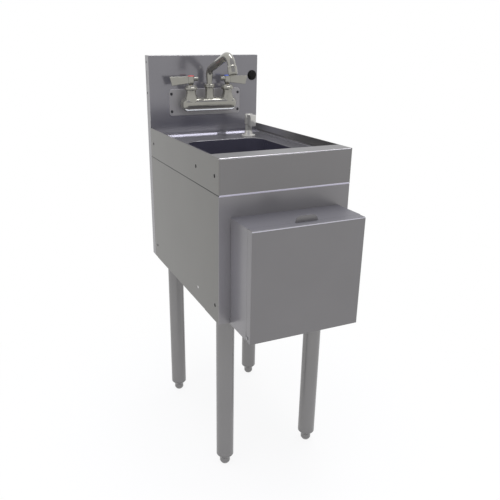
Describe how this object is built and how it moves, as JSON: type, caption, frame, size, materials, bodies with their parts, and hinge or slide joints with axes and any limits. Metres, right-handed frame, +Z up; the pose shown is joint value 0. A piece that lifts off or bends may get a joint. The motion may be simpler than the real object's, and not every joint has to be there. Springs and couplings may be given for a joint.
{
  "type": "underbar hand sink",
  "caption": "Narrow stainless underbar hand sink on tube legs, with splash, wall faucet, deck soap pump and a towel dispenser on its front.",
  "frame": {"origin": "on the floor under the middle of the overall box", "axes": "+X to the user's right, +Y towards the wall behind, +Z up"},
  "size_m": [0.3048, 0.587, 0.9529],
  "materials": {
    "top_steel": "satin",
    "bowl_steel": "satin",
    "splash_steel": "bright satin",
    "panel_steel": "satin",
    "frame_steel": "plain",
    "leg_steel": "polished tube",
    "chrome": "polished",
    "brass": "machined",
    "hardware_steel": "plain",
    "drain_steel": "polished",
    "rubber": "matt",
    "black_plastic": "gloss",
    "red_plastic": "gloss",
    "blue_plastic": "gloss",
    "white_plastic": "matt",
    "dispenser_steel": "bright satin",
    "magnet": "matt"
  },
  "bodies": {
    "sink_body": {"sink_top": "top_steel", "sink_bowl": "bowl_steel", "backsplash": "splash_steel", "left_side_panel": "panel_steel", "right_side_panel": "panel_steel", "front_panel": "panel_steel", "rear_rail": "panel_steel", "front_leg_channel": "frame_steel", "rear_leg_channel": "frame_steel", "leg_sockets": "frame_steel", "foot_inserts": "frame_steel", "backing_plate": "frame_steel", "leg_front_left": "leg_steel", "leg_front_right": "leg_steel", "leg_rear_left": "leg_steel", "leg_rear_right": "leg_steel", "faucet_plate": "chrome", "plate_screws": "chrome", "faucet_body": "chrome", "hot_bonnet_nut": "chrome", "cold_bonnet_nut": "chrome", "spout_nut": "chrome", "pump_collar": "chrome", "supply_shanks": "brass", "shank_nuts": "brass", "hot_cartridge": "brass", "cold_cartridge": "brass", "drain_nut": "brass", "shank_washers": "hardware_steel", "pump_nut": "hardware_steel", "pump_spring": "hardware_steel", "door_pins": "hardware_steel", "housing_rivets": "hardware_steel", "drain_body": "drain_steel", "tailpiece": "drain_steel", "spout_o_ring": "rubber", "drain_gasket": "rubber", "hole_plug": "black_plastic", "dip_tube": "white_plastic", "soap_bottle": "white_plastic", "towel_housing": "dispenser_steel", "door_magnets": "magnet"},
    "hot_handle": {"hot_handle": "chrome", "hot_stem": "brass", "hot_index": "red_plastic", "hot_handle_screw": "hardware_steel"},
    "cold_handle": {"cold_handle": "chrome", "cold_stem": "brass", "cold_index": "blue_plastic", "cold_handle_screw": "hardware_steel"},
    "spout": {"spout": "chrome", "aerator": "chrome"},
    "pump_plunger": {"pump_stem": "white_plastic"},
    "pump_head": {"pump_head": "chrome"},
    "towel_door": {"towel_door": "dispenser_steel"},
    "foot_front_left": {"foot_front_left": "leg_steel"},
    "foot_front_right": {"foot_front_right": "leg_steel"},
    "foot_rear_left": {"foot_rear_left": "leg_steel"},
    "foot_rear_right": {"foot_rear_right": "leg_steel"}
  },
  "joints": [
    {"name": "hot_turn", "type": "hinge", "parent": "sink_body", "child": "hot_handle", "pos_m": [-0.0508, 0.234, 0.87], "axis": [0, 0, 1], "range_deg": [0, 90]},
    {"name": "cold_turn", "type": "hinge", "parent": "sink_body", "child": "cold_handle", "pos_m": [0.0508, 0.234, 0.87], "axis": [0, 0, 1], "range_deg": [-90, 0]},
    {"name": "spout_swivel", "type": "hinge", "parent": "sink_body", "child": "spout", "pos_m": [0, 0.234, 0.86], "axis": [0, 0, 1], "range_deg": [-90, 90]},
    {"name": "pump_press", "type": "slide", "parent": "sink_body", "child": "pump_plunger", "axis": [0, 0, -1], "range_m": [0, 0.01], "stiffness_N_per_m": 400, "springref_m": -0.006, "deforming": ["pump_spring"]},
    {"name": "pump_head_turn", "type": "hinge", "parent": "pump_plunger", "child": "pump_head", "pos_m": [0.089, 0.1805, 0.79], "axis": [0, 0, 1], "continuous": true},
    {"name": "door_tilt", "type": "hinge", "parent": "sink_body", "child": "towel_door", "pos_m": [0, -0.279, 0.4159], "axis": [1, 0, 0], "range_deg": [0, 35]},
    {"name": "foot_front_left_adjust", "type": "slide", "parent": "sink_body", "child": "foot_front_left", "axis": [0, 0, 1], "range_m": [-0.02, 0]},
    {"name": "foot_front_right_adjust", "type": "slide", "parent": "sink_body", "child": "foot_front_right", "axis": [0, 0, 1], "range_m": [-0.02, 0]},
    {"name": "foot_rear_left_adjust", "type": "slide", "parent": "sink_body", "child": "foot_rear_left", "axis": [0, 0, 1], "range_m": [-0.02, 0]},
    {"name": "foot_rear_right_adjust", "type": "slide", "parent": "sink_body", "child": "foot_rear_right", "axis": [0, 0, 1], "range_m": [-0.02, 0]}
  ]
}
